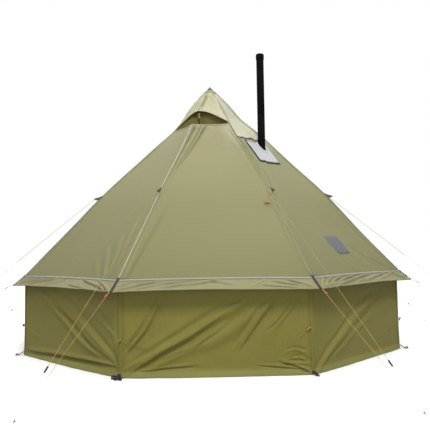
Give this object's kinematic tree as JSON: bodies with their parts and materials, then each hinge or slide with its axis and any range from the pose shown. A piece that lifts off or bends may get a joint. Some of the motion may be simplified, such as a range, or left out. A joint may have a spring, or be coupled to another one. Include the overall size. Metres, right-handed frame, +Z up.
{
  "type": "teepee tent",
  "caption": "Octagonal single-pole teepee tent with low walls, eave skirt, propped vent hoods, stove jack with flue pipe, zipped door and pegged guy lines.",
  "frame": {"origin": "on the ground, on the centre pole axis", "axes": "+Z up along the centre pole; the pictured front faces -Y; the door faces +Y; the stove jack is on the face between +X and -Y"},
  "size_m": [5.8748, 5.8752, 3.291],
  "materials": {
    "roof_fabric": "coated polyester-cotton weave, matt",
    "wall_fabric": "coated polyester-cotton weave, matt",
    "hem_fabric": "coated weave, matt",
    "reflective_tape": "woven tape with a grey reflective thread",
    "seam_tape": "woven seam tape",
    "mesh_net": "knitted insect net",
    "heat_patch": "silver-grey heat-resistant cloth",
    "pale_fabric": "coated weave, pale lining side out",
    "black_plastic": "matt moulded",
    "rubber_foot": "matt",
    "pole_steel": "galvanised steel tube",
    "peg_steel": "bent steel rod",
    "flue_black": "black heat paint, satin",
    "guy_cord": "braided cord"
  },
  "bodies": {
    "tent": {"roof_gore_right": "roof_fabric", "roof_gore_rear_right": "roof_fabric", "roof_gore_rear": "roof_fabric", "roof_gore_rear_left": "roof_fabric", "roof_gore_left": "roof_fabric", "roof_gore_front_left": "roof_fabric", "roof_gore_front": "roof_fabric", "roof_gore_front_right": "roof_fabric", "wall_curtain": "wall_fabric", "wall_hem_band": "hem_fabric", "eave_skirt": "roof_fabric", "eave_webbing": "reflective_tape", "ridge_webbing": "seam_tape", "vent_mesh_front": "mesh_net", "vent_mesh_rear": "mesh_net", "apex_cap": "black_plastic", "pole_lower": "pole_steel", "pole_middle": "pole_steel", "pole_upper": "pole_steel", "pole_foot": "rubber_foot", "stove_jack_patch": "heat_patch", "guy_cord_right_rear": "guy_cord", "guy_peg_right_rear": "peg_steel", "guy_cord_rear_right": "guy_cord", "guy_peg_rear_right": "peg_steel", "guy_cord_rear_left": "guy_cord", "guy_peg_rear_left": "peg_steel", "guy_cord_left_rear": "guy_cord", "guy_peg_left_rear": "peg_steel", "guy_cord_left_front": "guy_cord", "guy_peg_left_front": "peg_steel", "guy_cord_front_left": "guy_cord", "guy_peg_front_left": "peg_steel", "guy_cord_front_right": "guy_cord", "guy_peg_front_right": "peg_steel", "guy_cord_right_front": "guy_cord", "guy_peg_right_front": "peg_steel"},
    "door_upper": {"door_upper": "roof_fabric"},
    "door_lower": {"door_lower": "wall_fabric"},
    "zip_left": {"zip_slider_left": "black_plastic"},
    "zip_right": {"zip_slider_right": "black_plastic"},
    "hood_front": {"vent_hood_front": "roof_fabric"},
    "hood_rear": {"vent_hood_rear": "roof_fabric"},
    "prop_front": {"vent_prop_front": "black_plastic"},
    "prop_rear": {"vent_prop_rear": "black_plastic"},
    "jack_flap": {"stove_jack_flap": "pale_fabric"},
    "flue": {"flue_pipe": "flue_black"},
    "flue_top": {"flue_cap": "flue_black"},
    "button_lower": {"pole_button_lower": "pole_steel"},
    "button_upper": {"pole_button_upper": "pole_steel"},
    "runner_right_rear": {"guy_runner_right_rear": "black_plastic"},
    "runner_rear_right": {"guy_runner_rear_right": "black_plastic"},
    "runner_rear_left": {"guy_runner_rear_left": "black_plastic"},
    "runner_left_rear": {"guy_runner_left_rear": "black_plastic"},
    "runner_left_front": {"guy_runner_left_front": "black_plastic"},
    "runner_front_left": {"guy_runner_front_left": "black_plastic"},
    "runner_front_right": {"guy_runner_front_right": "black_plastic"},
    "runner_right_front": {"guy_runner_right_front": "black_plastic"}
  },
  "joints": [
    {"name": "door_upper_hinge", "type": "hinge", "parent": "tent", "child": "door_upper", "pos_m": [0, 1.01926, 1.75], "axis": [1, 0, 0], "range_deg": [0, 60]},
    {"name": "door_lower_hinge", "type": "hinge", "parent": "door_upper", "child": "door_lower", "pos_m": [0, 1.85076, 0.776], "axis": [1, 0, 0], "range_deg": [0, 100]},
    {"name": "zip_left_slide", "type": "slide", "parent": "tent", "child": "zip_left", "axis": [-0.1822, -0.6478, 0.7397], "range_m": [0, 1.15]},
    {"name": "zip_right_slide", "type": "slide", "parent": "tent", "child": "zip_right", "axis": [0.1822, -0.6478, 0.7397], "range_m": [0, 1.15]},
    {"name": "hood_front_hinge", "type": "hinge", "parent": "tent", "child": "hood_front", "pos_m": [0, 0, 2.912], "axis": [0.9239, -0.3827, 0], "range_deg": [0, 5]},
    {"name": "prop_front_hinge", "type": "hinge", "parent": "tent", "child": "prop_front", "pos_m": [-0.12629, -0.30488, 2.366], "axis": [0.9239, -0.3827, 0], "range_deg": [0, 80]},
    {"name": "hood_rear_hinge", "type": "hinge", "parent": "tent", "child": "hood_rear", "pos_m": [0, 0, 2.912], "axis": [-0.9239, 0.3827, 0], "range_deg": [0, 5]},
    {"name": "prop_rear_hinge", "type": "hinge", "parent": "tent", "child": "prop_rear", "pos_m": [0.12629, 0.30488, 2.366], "axis": [-0.9239, 0.3827, 0], "range_deg": [0, 80]},
    {"name": "jack_flap_hinge", "type": "hinge", "parent": "tent", "child": "jack_flap", "pos_m": [0.42426, -0.42426, 2.23597], "axis": [0.7071, 0.7071, 0], "range_deg": [0, 42]},
    {"name": "flue_slide", "type": "slide", "parent": "tent", "child": "flue", "axis": [0, 0, 1], "range_m": [-0.1, 0.3]},
    {"name": "flue_cap_slide", "type": "slide", "parent": "flue", "child": "flue_top", "axis": [0, 0, 1], "range_m": [0, 0.06]},
    {"name": "pole_button_lower_press", "type": "slide", "parent": "tent", "child": "button_lower", "axis": [-1, 0, 0], "range_m": [0, 0.0026]},
    {"name": "pole_button_upper_press", "type": "slide", "parent": "tent", "child": "button_upper", "axis": [-1, 0, 0], "range_m": [0, 0.0026]},
    {"name": "runner_right_rear_slide", "type": "slide", "parent": "tent", "child": "runner_right_rear", "axis": [-0.7062, -0.2925, 0.6448], "range_m": [-0.25, 1.1]},
    {"name": "runner_rear_right_slide", "type": "slide", "parent": "tent", "child": "runner_rear_right", "axis": [-0.2925, -0.7062, 0.6448], "range_m": [-0.25, 1.1]},
    {"name": "runner_rear_left_slide", "type": "slide", "parent": "tent", "child": "runner_rear_left", "axis": [0.2925, -0.7062, 0.6448], "range_m": [-0.25, 1.1]},
    {"name": "runner_left_rear_slide", "type": "slide", "parent": "tent", "child": "runner_left_rear", "axis": [0.7062, -0.2925, 0.6448], "range_m": [-0.25, 1.1]},
    {"name": "runner_left_front_slide", "type": "slide", "parent": "tent", "child": "runner_left_front", "axis": [0.7062, 0.2925, 0.6448], "range_m": [-0.25, 1.1]},
    {"name": "runner_front_left_slide", "type": "slide", "parent": "tent", "child": "runner_front_left", "axis": [0.2925, 0.7062, 0.6448], "range_m": [-0.25, 1.1]},
    {"name": "runner_front_right_slide", "type": "slide", "parent": "tent", "child": "runner_front_right", "axis": [-0.2925, 0.7062, 0.6448], "range_m": [-0.25, 1.1]},
    {"name": "runner_right_front_slide", "type": "slide", "parent": "tent", "child": "runner_right_front", "axis": [-0.7062, 0.2925, 0.6448], "range_m": [-0.25, 1.1]}
  ],
  "couplings": [
    {"joint": "prop_front_hinge", "follows": "hood_front_hinge", "ratio": 16},
    {"joint": "prop_rear_hinge", "follows": "hood_rear_hinge", "ratio": 16}
  ]
}
